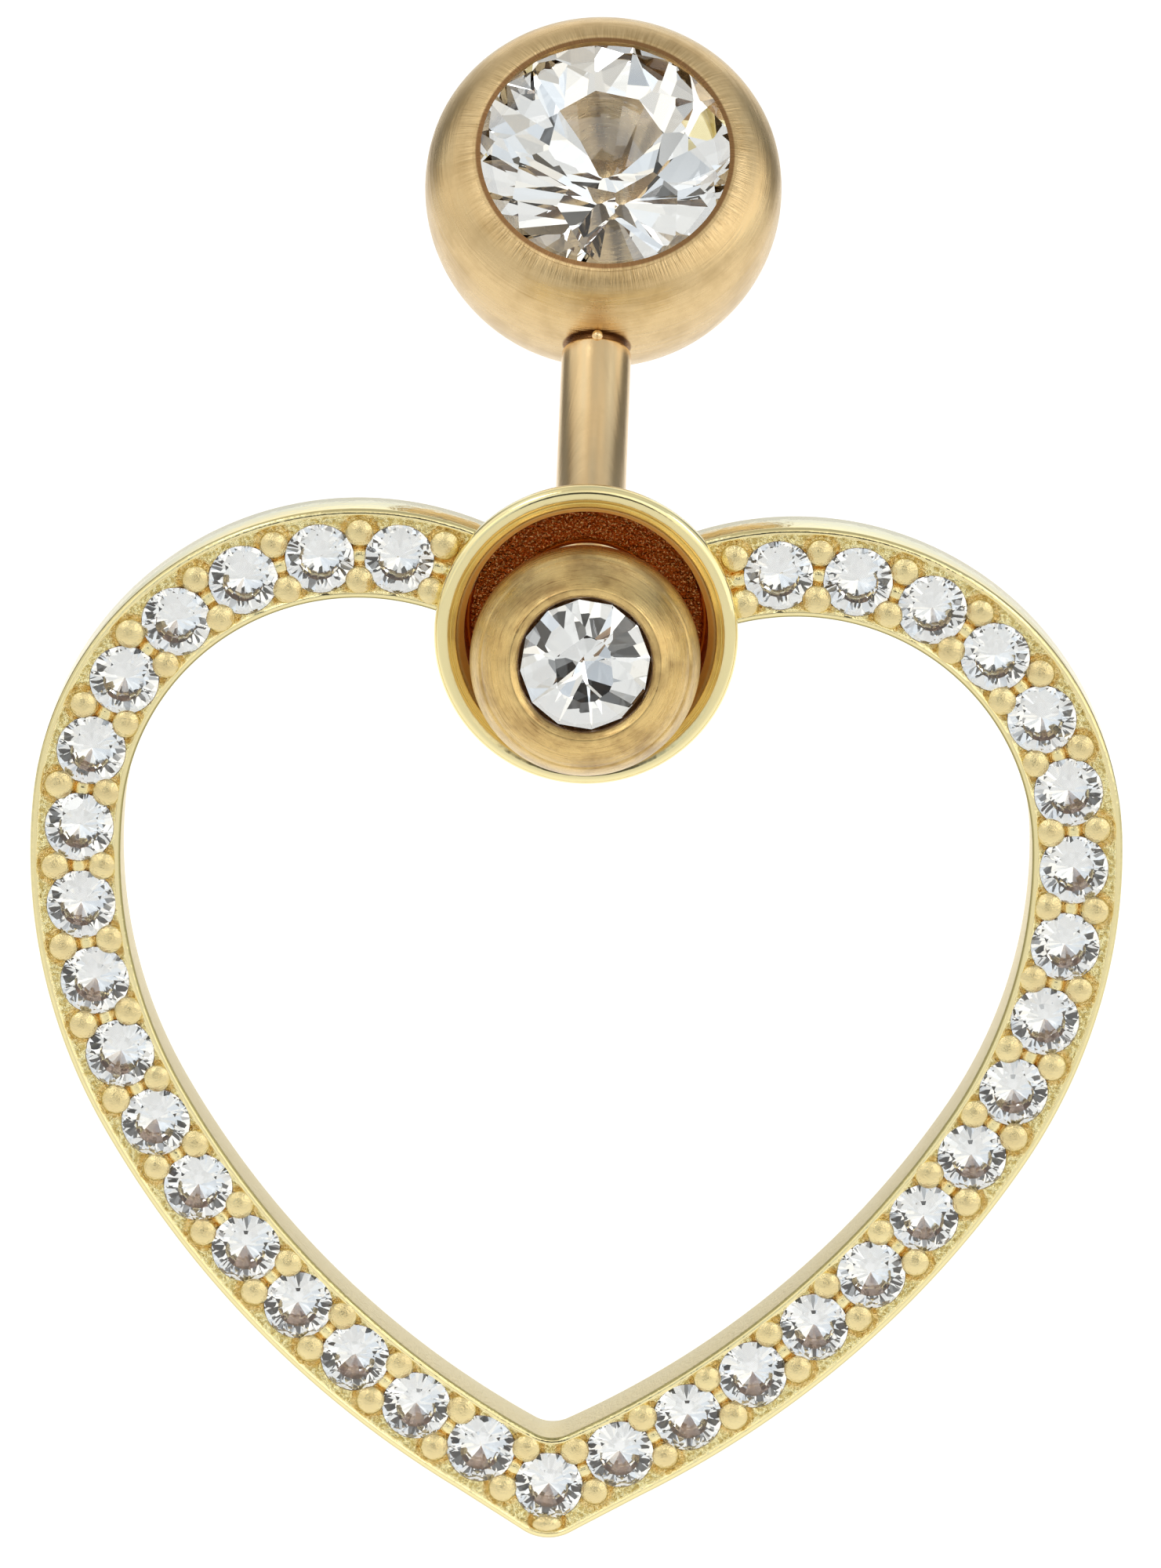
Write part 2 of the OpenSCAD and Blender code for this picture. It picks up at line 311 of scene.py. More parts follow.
def plated_gold():
    start, feed = shader("polished_gold")
    place = spot_mm(start)
    bed, groove, seat, wall, bead, line, back = (
        start.node("ShaderNodeAttribute", {"attribute_name": mask}, output="Fac")
        for mask in ("bed", "groove", "seat", "wall", "bead", "line", "back")
    )
    grain = noise(start, place, 10, 3, 0.7)
    wear = noise(start, place, 1.6, 3)
    ripple = noise(start, place, 4.5, 2)
    sand = grain.step(0.40, 0.58).mix(SANDY_SHADE, SANDY_LEMON)
    dull, rubbed = back * wear.step(0.3, 0.7), bead * (0.05 + 0.5 * wear)
    # Of these tints, the groove and seat ones are painted shade and the line one a painted dark reflection.
    shares = (wall, dull, rubbed, groove, line, seat)
    tints = (ROSY_LEMON, BACK_LEMON, DEEP_LEMON, PAINTED_GROOVE_SHADE_GOLD, PAINTED_EDGE_REFLECTION_OLIVE, PAINTED_SEAT_SHADE_BROWN)
    colour = bed.mix(LEMON, sand)
    for share, tint in zip(shares, tints):
        colour = share.mix(colour, tint)
    grit = grain * (bed + 0.4 * wall + 0.08 * back + 0.22 * bead)
    return feed(
        Base_Color=colour,
        Metallic=1.0,
        Roughness=0.10 + 0.10 * wear + 0.10 * bed + 0.2 * wall + 0.07 * bead + 0.16 * back,
        Normal=bump(start, grit, 0.11, 1.0, bump(start, ripple, 0.014)),
    )


polished_gold = plated_gold()
print("made", polished_gold.name)

# %% [markdown]
# The cup's inside
# Light reaches the cup's floor only after several bounces off gold, which turns it red-brown.
# Its material paints that in: a painted red-brown shade inside, fine grains with painted bright
# glints on the floor, and a throat painted orange as gold reflecting gold.

# %% Make the cup's finish, with its painted shade, glints and reflections
# A painted reflection of gold in gold, deeper orange lower in the throat.
PAINTED_REFLECTION_ORANGE_GOLD = (1.0, 0.78, 0.34, 1)
PAINTED_REFLECTION_DEEP_ORANGE = (1.0, 0.58, 0.12, 1)
# Painted shade for the inside of the cup.
PAINTED_SHADE_RED_BROWN = (0.52, 0.15, 0.025, 1)
# Painted glints on the cup's floor.
PAINTED_GLINT_GOLD = (1.0, 0.72, 0.38, 1)


def cup_painted_shade_finish():
    start, feed = shader("cup_gold")
    parts, reach = around_axis(start, cup_centre, math.pi / 2)
    place = spot_mm(start)
    height = parts[2]
    inside = (1 - reach.step(2.84, 2.90)) * height.step(-1.9, -1.85)
    throat = inside * (1 - height.step(0.18, 0.25))
    deep = inside * (1 - height.step(-0.27, -0.20))
    grains = noise(start, place, 10, 2, 0.7)
    wear = noise(start, place, 1.4, 3)
    floor = deep * (1 - height.step(-1.6, -1.4)) * reach.step(1.75, 1.85) * (1 - reach.step(2.5, 2.58))
    # Painted bright glints, scattered on the floor.
    painted_glints = floor * noise(start, place, 19, 1).step(0.52, 0.64) * 0.8
    # The throat is painted orange as a reflection of gold, deeper orange further in.
    colour = throat.mix(LEMON, height.step(0.02, 0.2).mix(PAINTED_REFLECTION_DEEP_ORANGE, PAINTED_REFLECTION_ORANGE_GOLD))
    # The inside is painted red-brown shade.
    colour = deep.mix(colour, PAINTED_SHADE_RED_BROWN)
    colour = painted_glints.mix(colour, PAINTED_GLINT_GOLD)
    return feed(
        Base_Color=colour,
        Metallic=1.0,
        Roughness=0.10 + 0.06 * wear + 0.12 * deep + 0.5 * throat * (1 - deep),
        Normal=bump(start, grains * floor, 0.14, 1.0, bump(start, wear, 0.01)),
    )


cup_gold = cup_painted_shade_finish()
print("made", cup_gold.name)

# %% [markdown]
# Satin gold steel
# The bar and the two balls are steel with a warmer gold coating, satin from fine brushing. On
# the large ball's face the marks run outwards from the gem, and elsewhere round the ball. The
# seats round the gems are painted with a brown shade, and the bar's seam is dark.

# %% Make the satin finish
WARM_GOLD = (0.90, 0.66, 0.37, 1)
DULL_GOLD = (0.55, 0.38, 0.17, 1)
# Painted brown shade in the gem seats, also the dark colour of the bar's seam.
SEAT_PAINTED_SHADE_AND_SEAM_BROWN = (0.26, 0.14, 0.06, 1)


def satin_gold(name, centre, tilt, seat_r, face_h, warm=WARM_GOLD, dull=DULL_GOLD, worn=0.3, brushed=1.0):
    """Steel brushed outwards above face_h and round the axis elsewhere, with a painted brown shade in its
    seat and a dark seam.
    """
    start, feed = shader(name)
    parts, reach = around_axis(start, centre, tilt)
    place = spot_mm(start)
    spoke_x, spoke_y = parts[0] / reach, parts[1] / reach
    spokes = start.vector(spoke_x * 60, spoke_y * 60, reach * 1.2)
    hoops = start.vector(spoke_x * 0.8, spoke_y * 0.8, parts[2] * 9)
    radial = noise(start, spokes, 1.0, 3, 0.65)
    hooped = noise(start, hoops, 1.0, 4, 0.7)
    blotch = noise(start, place, 1.1, 4, 0.6)
    fine = noise(start, place, 22, 2)
    scuff = worn * noise(start, hoops, 3.5, 4, 0.75).step(0.5, 0.72)
    face = parts[2].step(face_h - 0.25, face_h + 0.1)
    brush = radial * face + hooped * (1 - face)
    stain = blotch.step(0.42, 0.72) * (0.3 + 0.35 * worn) + (brush - 0.45) * (0.6 + 1.4 * face)
    shade = stain * brushed + 0.12 * face + 0.5 * scuff
    # The seat gets a painted brown shade; the seam below is a dark joint.
    seat = (1 - reach.step(seat_r, seat_r + 0.05)) * parts[2].step(0, 0.1)
    from_bar = start.maths("SQRT", parts[0] * parts[0] + parts[2] * parts[2])
    seam = parts[1].step(-4.26, -4.22) * (1 - parts[1].step(-4.03, -3.99)) * (1 - from_bar.step(0.76, 0.82))
    colour = start.node("ShaderNodeClamp", values={0: shade}).mix(warm, dull)
    return feed(
        Base_Color=(seat + seam).mix(colour, SEAT_PAINTED_SHADE_AND_SEAM_BROWN),
        Metallic=1.0,
        Roughness=0.12 + 0.08 * brushed + 0.16 * blotch + 0.04 * face - 0.08 * scuff,
        Normal=bump(start, fine, 0.003, 0.6, bump(start, brush, 0.02 * brushed)),
    )


gem_tilt = bend_turn - front_tilt
large_gold = satin_gold(
    "satin_gold_large", large_centre, gem_tilt, seat_r=2.97, face_h=1.7,
    warm=(0.73, 0.54, 0.29, 1), dull=(0.43, 0.29, 0.13, 1),
)
small_gold = satin_gold(
    "satin_gold_small", small_centre, math.pi / 2 - front_tilt, seat_r=1.43, face_h=9.0,
    warm=(0.75, 0.54, 0.23, 1), dull=(0.28, 0.16, 0.06, 1), worn=1.0,
)
print("made", large_gold.name, small_gold.name)

# %% [markdown]
# Stones and foil
# The stones are real glass here: light enters, bounces off the facets below and comes back.
# The two gem balls' stones have foil on their backs, so their lower facets are mirrors.

# %% Make the glass and the foil


def clear_glass(name, index):
    start, feed = shader(name)
    dust = noise(start, spot_mm(start), 3.0, 4, 0.7)
    return feed(
        Base_Color=(0.955, 0.975, 1.0, 1),
        Roughness=dust.step(0.62, 0.85) * 0.05,
        IOR=index,
        Transmission_Weight=1.0,
    )


def silver_foil():
    start, feed = shader("silver_foil")
    wrinkle = noise(start, spot_mm(start), 2.2, 3)
    colour = wrinkle.step(0.56, 0.64).mix((0.93, 0.94, 0.95, 1), (0.88, 0.80, 0.60, 1))
    return feed(Base_Color=colour, Metallic=1.0, Roughness=0.03, Normal=bump(start, wrinkle, 0.002))


cubic_glass = clear_glass("clear_stone", 1.82)
gem_glass = clear_glass("clear_gem", 1.75)
foil = silver_foil()
print("made", cubic_glass.name, gem_glass.name, foil.name)

# %% [markdown]
# The heart's line
# The heart is drawn from three arcs on each side: the long lower curve, the shoulder and the
# lobe that runs into the cup. Every stone, bead and edge lies a set distance along this line
# and beside it, so one function gives all their places.

# %% Work out the heart's line
tip_slope, side_end, shoulder_end = np.radians([25, 59, 94])
side_r, shoulder_r, lobe_r = 21.2, 11.6, 6.1
frame_out, frame_in, frame_t = 1.054, 0.92, 1.5
edge_w, bed_drop = 0.15, 0.12
tip_r, tip_drop, vee_r = 1.0, 1.19, 0.8
cup_r, cup_wall = 3.3, 0.47
join_angle = math.radians(22.5)
stone_spacing = 1.733
join_r = cup_r - cup_wall / 2


def along(start, radius, slope_from, slope):
    run = np.stack([np.sin(slope) - np.sin(slope_from), np.cos(slope_from) - np.cos(slope)], -1)
    return start + radius * run


side_len = side_r * (side_end - tip_slope)
side_top = along((0, 0), side_r, tip_slope, side_end)
shoulder_len = shoulder_r * (shoulder_end - side_end)
shoulder_top = along(side_top, shoulder_r, side_end, shoulder_end)
join_x = join_r * math.cos(join_angle)
lobe_end = math.pi - math.asin(math.sin(shoulder_end) + (join_x - shoulder_top[0]) / lobe_r)
line_len = side_len + shoulder_len + lobe_r * (lobe_end - shoulder_end)
cup_rise = along(shoulder_top, lobe_r, shoulder_end, lobe_end)[1] - join_r * math.sin(join_angle)
print("half the line", line_len, "cup's centre above its start", cup_rise)

# %% Find places on the line, and the stones on it
arcs = (
    (side_len, (0, 0), side_r, tip_slope),
    (shoulder_len, side_top, shoulder_r, side_end),
    (0.0, shoulder_top, lobe_r, shoulder_end),
)


def beside(s, w):
    """A point s along the line and w beside it, positive to the outside of the heart."""
    left, w = np.broadcast_arrays(np.asarray(s, float), np.asarray(w, float))
    slope, point = np.zeros(left.shape), np.zeros(left.shape + (2,))
    for length, corner, radius, slope_from in arcs:
        on_arc = left >= 0
        slope = np.where(on_arc, slope_from + left / radius, slope)
        point = np.where(on_arc[..., None], along(corner, radius, slope_from, slope), point)
        left = left - length
    return point + w[..., None] * np.stack([np.sin(slope), -np.cos(slope)], -1)


def on_face(flat, depth):
    """Heart coordinates (across, up) and a depth behind the face become a place in the frame."""
    up = flat[..., 1] - cup_rise + cup_centre[2]
    return np.stack([flat[..., 0], face_y + np.broadcast_to(depth, up.shape), up], -1)


stone_names = sorted(n for n in frame["nodes"] if n.startswith("heart_stone_"))
stone_boxes = [box_mm(n) for n in stone_names]
stone_d = float(np.mean([high[0] - low[0] for low, high in stone_boxes]))
stone_places = np.array([(low + high) / 2 for low, high in stone_boxes])
stone_flat = np.stack([stone_places[:, 0], stone_places[:, 2] - cup_centre[2] + cup_rise], -1)
side_count = len(stone_names) // 2
print("stones", len(stone_names), "across", stone_d, "lowest at", stone_flat[side_count])

# %% [markdown]
# Where the beads are
# Between each two stones a pair of beads holds them down, one on each side of the line, and one
# more bead fills the tip. The same places serve for the beads and for the grooves round them.

# %% Work out the beads' places
bead_d, bead_offset = 0.62, 0.52
bead_steps = np.minimum((np.arange(side_count + 1) + 0.5) * stone_spacing, line_len - bead_d / 2)
bead_rows = [(side, w) for side in (-1, 1) for w in (-bead_offset, bead_offset)]
bead_flat = [(side * p[0], p[1]) for side, w in bead_rows for p in beside(bead_steps, w)]
bead_flat.append((0, -tip_drop + bead_d / 2 + edge_w / 2))
bead_flat = np.array(bead_flat)
web_flat = np.array([(side * p[0], p[1]) for side in (-1, 1) for p in beside(bead_steps, 0.0)])
print("beads", len(bead_flat), "webs", len(web_flat))

# %% [markdown]
# The heart's band
# The band is one casting: a flat strip with a raised polished edge on each side, a sandy bed
# between, a seat for each stone, a groove round each bead and a low web between two stones. It
# is one fine grid, whose rows run along the heart's line. Each point's depth follows from its
# distance to the edges, stones and beads, and points next to a seat's rim are moved onto it.

# %% Rows along the heart's line
row_step = 0.05
edge_round = 0.10
tip_turn = math.radians(30.5)
vee_turn = math.asin(side_r * math.sin(tip_slope) / (side_r - frame_in - vee_r))
vee_up = side_r * math.cos(tip_slope) - (side_r - frame_in - vee_r) * math.cos(vee_turn)
vee_from = (vee_turn - tip_slope) * side_r


def round_points(centre_up, radius, turn, steps=40):
    turns = np.linspace(0, turn, steps)
    return np.stack([radius * np.sin(turns), centre_up - radius * np.cos(turns)], -1)


def evenly(path, count):
    """Points spaced evenly along a path."""
    run = np.concatenate([[0], np.cumsum(np.linalg.norm(np.diff(path, axis=0), axis=1))])
    want = np.linspace(0, run[-1], count)
    return np.stack([np.interp(want, run, path[:, 0]), np.interp(want, run, path[:, 1])], -1)


tip_rows = 50
outer_path = beside([stone_spacing], frame_out)
outer_tip = np.concatenate([round_points(tip_r - tip_drop, tip_r, tip_turn), outer_path])
inner_path = beside(np.linspace(vee_from, stone_spacing, 30), -frame_in)
inner_tip = np.concatenate([round_points(vee_up, vee_r, vee_turn)[:-1], inner_path])
outer_tip, inner_tip = evenly(outer_tip, tip_rows), evenly(inner_tip, tip_rows)
print("tip's inner corner", inner_tip[0], "outer", outer_tip[0])

# %% Columns near an edge, as (reach from the edge, depth)
bed_columns, bed_depth = 30, 0.09
back_round = 0.08
round_turns = np.linspace(0, math.pi / 2, 5)
near_edge = [
    (back_round, frame_t),
    (back_round * 0.3, frame_t - back_round * 0.3),
    (0, frame_t - back_round),
    (0, frame_t / 2),
]
near_edge += sorted((edge_round * (1 - math.sin(t)), edge_round * (1 - math.cos(t))) for t in round_turns)
inner_slope = ((0.8, 0.0), (0.9, 0.012), (1.0, 0.04), (1.1, 0.066), (1.2, 0.082))
near_edge += [(edge_w * share, depth) for share, depth in inner_slope]
bed_edge = edge_w * 1.35
print("columns near an edge:", len(near_edge))


def band_columns(width):
    """Each column's share of the way across the band, its depth, and whether it is on the front."""
    outer = [(reach / width, depth, depth < bed_drop and reach > edge_round) for reach, depth in near_edge]
    steps = [bed_edge + (width - 2 * bed_edge) * k / bed_columns for k in range(bed_columns + 1)]
    bed = [(step / width, bed_depth, True) for step in steps]
    inner = [(1 - share, depth, front) for share, depth, front in reversed(outer)]
    back = [(np.full(len(width), share), frame_t, False) for share in (0.7, 0.3)]
    return zip(*outer, *bed, *inner, *back)

# %% Rows up to the cup
band_end_r = cup_r - cup_wall - 0.05
end_run = 3


def join_distance(w):
    """How far along the line a strand w beside it ends, inside the cup's wall."""
    low, high = line_len - end_run, line_len + end_run
    middle = np.array([0, cup_rise])
    for _ in range(50):
        half = (low + high) / 2
        away = np.linalg.norm(beside(half, w) - middle)
        low, high = (half, high) if away > band_end_r else (low, half)
    return low


def band_rows():
    """Points of the right half of the band: rows from the tip up to the cup, each across the band."""
    straight = np.arange(stone_spacing, line_len - end_run, row_step)[1:]
    outer = np.concatenate([outer_tip, beside(straight, frame_out)])
    inner = np.concatenate([inner_tip, beside(straight, -frame_in)])
    shares, depths, is_front = band_columns(np.linalg.norm(outer - inner, axis=1))
    shares = np.stack(shares, 1)
    rows = outer[:, None] * (1 - shares[..., None]) + inner[:, None] * shares[..., None]
    strands = frame_out - shares[-1] * (frame_out + frame_in)
    ends = np.array([join_distance(w) for w in strands])
    count = int((end_run + 0.2) / row_step)
    steps = np.arange(1, count + 1)[:, None] / count
    more = beside(straight[-1] + (ends - straight[-1])[None] * steps, strands[None])
    return np.concatenate([rows, more]), np.array(depths), np.array(is_front)


half_rows, column_depth, column_front = band_rows()
band_flat = np.concatenate([half_rows[:0:-1] * np.array([-1, 1]), half_rows])
print("band grid", band_flat.shape)

# %% Depths and masks that are the same all along the band
seat_r = stone_d / 2 + 0.012
girdle_depth, seat_drop, seat_floor = 0.12, 0.05, 0.83
grain_depth = 0.010
groove_r, groove_w, groove_depth = bead_d / 2 + 0.055, 0.06, 0.11
web_r, web_depth = 0.15, 0.03
rng = np.random.default_rng(7)
column_middle = len(near_edge) + bed_columns // 2
column_inner = np.arange(len(column_depth)) > column_middle
column_wall = column_inner & ~column_front & (column_depth > 0.06) & (column_depth < frame_t)
# The line mask marks the rounded edges for a painted dark reflection, stronger on the inner edge.
column_painted_edge_reflection = ~column_front & (column_depth > 0.02) & (column_depth < edge_round - 0.005)
column_masks = {
    "wall": column_wall,
    "line": np.where(column_inner, 0.9, 0.4) * column_painted_edge_reflection,
    "back": column_depth >= frame_t,
}
print("columns", len(column_depth), "on the inner wall", int(column_wall.sum()))

# %% Depths of the bed, the seats and the grooves


def nearest(flat, centres):
    """Each point's distance to the nearest centre, and the step to it."""
    best = np.full(flat.shape[:-1], 1e9)
    step = np.zeros(flat.shape)
    for centre in centres:
        away = flat - centre
        distance = np.linalg.norm(away, axis=-1)
        closer = distance < best
        best = np.where(closer, distance, best)
        step = np.where(closer[..., None], away, step)
    return best, step


def toward_line(flat):
    """The way from each point to the band's middle."""
    across = flat[:, column_middle][:, None] - flat
    return across / np.maximum(np.linalg.norm(across, axis=-1, keepdims=True), 1e-6)


def shape_band(flat):
    """Moves points onto the seats' rims. Returns them with their depths, the rims and the masks."""
    shape = flat.shape[:-1]
    depth = np.broadcast_to(column_depth, shape)
    front = np.broadcast_to(column_front, shape)
    in_bed = np.clip((depth - 0.02) / (bed_depth - 0.02), 0, 1) * front
    to_stone, from_stone = nearest(flat, stone_flat)
    rim = front & (np.abs(to_stone - seat_r) < 0.6 * row_step)
    flat = np.where(rim[..., None], flat + from_stone * (seat_r / to_stone - 1)[..., None], flat)
    inside = front & ~rim & (to_stone < seat_r)
    to_bead, from_bead = nearest(flat, bead_flat)
    inward = np.clip(0.5 + 0.5 * np.sum(from_bead * toward_line(flat), -1) / to_bead, 0, 1)
    to_web, _ = nearest(flat, web_flat)
    web = np.exp(-((to_web / web_r) ** 4)) * front
    in_bed = in_bed * (1 - web)
    depth = depth + (web_depth - depth) * web
    # The groove mask both deepens the bed and sets its painted orange shade, more on the inner side.
    groove = np.exp(-(((to_bead - groove_r) / groove_w) ** 2)) * in_bed * (0.35 + 0.65 * inward)
    depth = depth + grain_depth * rng.normal(size=shape) * in_bed
    depth = depth + groove_depth * groove
    cone = (seat_floor - girdle_depth - seat_drop) * (1 - to_stone / seat_r)
    depth = np.where(inside, girdle_depth + seat_drop + cone, depth)
    masks = {"bed": in_bed * (1 - inside), "groove": groove, "seat": inside}
    for mask, values in column_masks.items():
        masks[mask] = np.broadcast_to(values, shape)
    return flat, depth, rim, masks


band_flat, band_depth, band_rim, band_masks = shape_band(band_flat)
print("seat points", int(band_masks["seat"].sum()), "rim points", int(band_rim.sum()))

# %% Join the grid into the band's mesh


def grid_faces(rim):
    """Faces of a grid closed across the band. A face that a seat's rim cuts is split along it."""
    rows, columns = rim.shape
    faces = []
    for i in range(rows - 1):
        for j in range(columns):
            k = (j + 1) % columns
            a, b, c, d = i * columns + j, i * columns + k, (i + 1) * columns + k, (i + 1) * columns + j
            if rim[i, j] and rim[i + 1, k]:
                faces += [(a, b, c), (a, c, d)]
            elif rim[i, k] and rim[i + 1, j]:
                faces += [(a, b, d), (b, c, d)]
            else:
                faces.append((a, b, c, d))
    faces.append(tuple(range(columns)))
    faces.append(tuple(range((rows - 1) * columns, rows * columns))[::-1])
    return faces


band_points = on_face(band_flat, band_depth).reshape(-1, 3)
band_mesh = make_mesh("charm_band", band_points, grid_faces(band_rim))
for mask, values in band_masks.items():
    set_number(band_mesh, mask, values)
add_piece("charm_band", band_mesh, polished_gold, "charm", "polished_gold", "heart_frame")

# %% [markdown]
# The cup
# The cup is turned: a broad polished rim with a fine line, a throat that narrows clear of the
# small ball, and a plain wall down to a floor with a hole for the bar. Its outer wall tapers
# behind the rim and hides there. A profile spun round the axis gives all of it at once.

# %% Turn the cup
cup_in_r = cup_r - cup_wall
throat_r = cup_in_r - 0.18
cup_floor, cup_back = 1.65, 2.05
hole_r, rim_round = 1.7, 0.18
cup_profile = [
    (hole_r, -cup_floor),
    (throat_r - 0.08, -cup_floor),
    (throat_r, -cup_floor + 0.08),
    (throat_r, -0.26),
    (throat_r + 0.01, -0.22),
    (throat_r + 0.08, -0.02),
    (throat_r + 0.13, 0.12),
    (throat_r + 0.16, 0.20),
    (throat_r + 0.19, 0.237),
    (throat_r + 0.23, 0.249),
    (cup_in_r + 0.09, 0.262),
    (cup_in_r + 0.105, 0.242),
    (cup_in_r + 0.12, 0.268),
    (cup_in_r + 0.18, 0.285),
    *arc(cup_r - rim_round, rim_proud - rim_round, rim_round, 105, 0, 14),
    (cup_r, 0.0),
    (cup_r - 0.03, -0.12),
    (cup_r - 0.22, -0.92),
    (cup_r - 0.26, -1.02),
    (cup_r - 0.43, -cup_back + 0.08),
    (cup_r - 0.49, -cup_back),
    (hole_r + 0.08, -cup_back),
    (hole_r, -cup_back + 0.08),
]
cup_place = turned_to(math.pi / 2, cup_centre)
add_turned("charm_cup", cup_profile, 160, cup_place, cup_gold, "charm", "polished_gold", "heart_frame")

# %% [markdown]
# Geometry Nodes for what repeats
# Seventy-three beads and thirty-five stones are each one shape set down many times. A small tree
# takes their places as bare points and sets a copy on each, turned and leant a little by chance.

# %% Open, close and run a tree


def new_tree(name, **kinds):
    """An empty tree with these inputs: its bare wire, and one wire for each input."""
    tree = bpy.data.node_groups.new(name, "GeometryNodeTree")
    for title, kind in {"Geometry": "Geometry", **kinds}.items():
        tree.interface.new_socket(title, in_out="INPUT", socket_type="NodeSocket" + kind)
    tree.interface.new_socket("Geometry", in_out="OUTPUT", socket_type="NodeSocketGeometry")
    entry = tree.nodes.new("NodeGroupInput")
    return Wire(tree), {socket.name: Wire(tree, socket) for socket in entry.outputs if socket.name}


def close_tree(shape, finish):
    """Makes a shape's copies real, gives them their material and sends them out of the tree."""
    real = shape.node("GeometryNodeRealizeInstances", values={"Geometry": shape})
    done = shape.node("GeometryNodeSetMaterial", values={"Geometry": real, "Material": finish})
    return done.leave("NodeGroupOutput")


def grown(name, base, tree, **inputs):
    """Runs a tree on an object made from base and returns the result as a plain mesh."""
    holder = placed(name + "_places", base)
    modifier = holder.modifiers.new("grow", "NODES")
    modifier.node_group = tree
    for socket in tree.interface.items_tree:
        if socket.in_out == "INPUT" and socket.name in inputs:
            modifier[socket.identifier] = inputs[socket.name]
    bpy.context.view_layer.update()
    graph = bpy.context.evaluated_depsgraph_get()
    result = bpy.data.meshes.new_from_object(holder.evaluated_get(graph))
    bpy.data.objects.remove(holder)
    result.name = name
    return result

# %% A tree that sets one shape on many places


def scatter_tree():
    amounts = {"Lean": "Float", "Turn": "Float", "Change": "Float", "Seed": "Int"}
    start, given = new_tree("set_on_places", Shape="Object", Finish="Material", **amounts)
    lean, turn, change, seed = (given[name] for name in amounts)
    vectors = {"data_type": "FLOAT_VECTOR"}
    reach = {0: start.vector(0 - lean, 0 - turn, 0 - lean), 1: start.vector(lean, turn, lean), "Seed": seed}
    spin = start.node("FunctionNodeRandomValue", vectors, reach)
    growth = {2: 1 - change, 3: 1 + change, "Seed": seed + 1}
    size = start.node("FunctionNodeRandomValue", {"data_type": "FLOAT"}, growth, output=1)
    stretch = start.node("GeometryNodeInputNamedAttribute", vectors, {"Name": "stretch"})
    scale = start.node("ShaderNodeVectorMath", {"operation": "SCALE"}, {0: stretch, "Scale": size})
    points = start.node("GeometryNodeMeshToPoints", values={"Mesh": given["Geometry"]})
    shape = start.node("GeometryNodeObjectInfo", values={"Object": given["Shape"]}, output="Geometry")
    values = {"Points": points, "Instance": shape, "Rotation": spin, "Scale": scale}
    return close_tree(start.node("GeometryNodeInstanceOnPoints", values=values), given["Finish"])


def bare_mesh(name, points, edges=()):
    """Bare points in millimetres, for a tree to build on."""
    mesh = bpy.data.meshes.new(name)
    mesh.from_pydata([tuple(p) for p in np.array(points) * MM], edges, [])
    return mesh


def scattered(name, template, places, finish, stretch, **amounts):
    """Sets copies of a template on their places, each with its own stretch across, in depth and up."""
    spots = bare_mesh(name + "_spots", places)
    set_number(spots, "stretch", stretch, "FLOAT_VECTOR", "vector")
    shape = bpy.data.objects.new(template.name, template)
    return grown(name, spots, scatter, Shape=shape, Finish=finish, **amounts)


scatter = scatter_tree()
print("tree", scatter.name, "has", len(scatter.nodes), "nodes")

# %% [markdown]
# The holding beads
# Each bead was raised from the bed with a cup-shaped tool, which leaves a low disc with a
# domed, burnished top. It overlaps the stones beside it by a hair.

# %% Make a bead and set it on its places
lying = Matrix.Rotation(math.pi / 2, 4, "X")
bead_r, bead_top, bead_foot = bead_d / 2, 0.085, -0.28
bead_round = math.radians(40)
bead_bend = bead_r / math.sin(bead_round)
dome = [(bead_bend * math.sin(t), bead_bend * math.cos(t)) for t in np.linspace(bead_round, 0, 10)]
squash = (bead_top + 0.04) / (dome[-1][1] - dome[0][1])
bead_profile = [(0, bead_foot), (bead_r * 0.95, bead_foot), (bead_r, -0.12)]
bead_profile += [(r, -0.04 + (h - dome[0][1]) * squash) for r, h in dome[:-1]] + [(0, bead_top)]
bead_points, bead_faces = turned(bead_profile, 28)
bead_template = make_mesh("bead_shape", bead_points, bead_faces, lying, sharp=60)
bead_stretch = np.ones((len(bead_flat), 3))
bead_stretch[-1] = (1.12, 0.9, 0.62)
bead_places = on_face(bead_flat, 0.0)
bead_places[-1, 2] -= 0.06
bead_mesh = scattered(
    "holding_beads", bead_template, bead_places, polished_gold, bead_stretch,
    Lean=0.09, Turn=0.12, Change=0.05, Seed=4,
)
set_number(bead_mesh, "bead", np.ones(len(bead_mesh.vertices)))
add_piece("holding_beads", bead_mesh, polished_gold, "charm", "polished_gold", "heart_frame")

# %% [markdown]
# Cutting a stone
# A stone is ground facet by facet, and this mesh is made the same way: it starts as a round
# blank, and each facet is a plane that slices a corner off it, given by its slope, the way it
# faces and the ring that it touches. Cheap stones are cut a little unevenly, so each slope is
# changed by a small seeded amount.

# %% Slice a stone from a blank


def facets_of(side, slope, ring_r, ring_h, count, first=0.0, group=0):
    """A round of facets: side is 1 for the crown and -1 for the pavilion."""
    step = 2 * math.pi / count
    return [(side, slope, first + k * step, ring_r, ring_h, group) for k in range(count)]


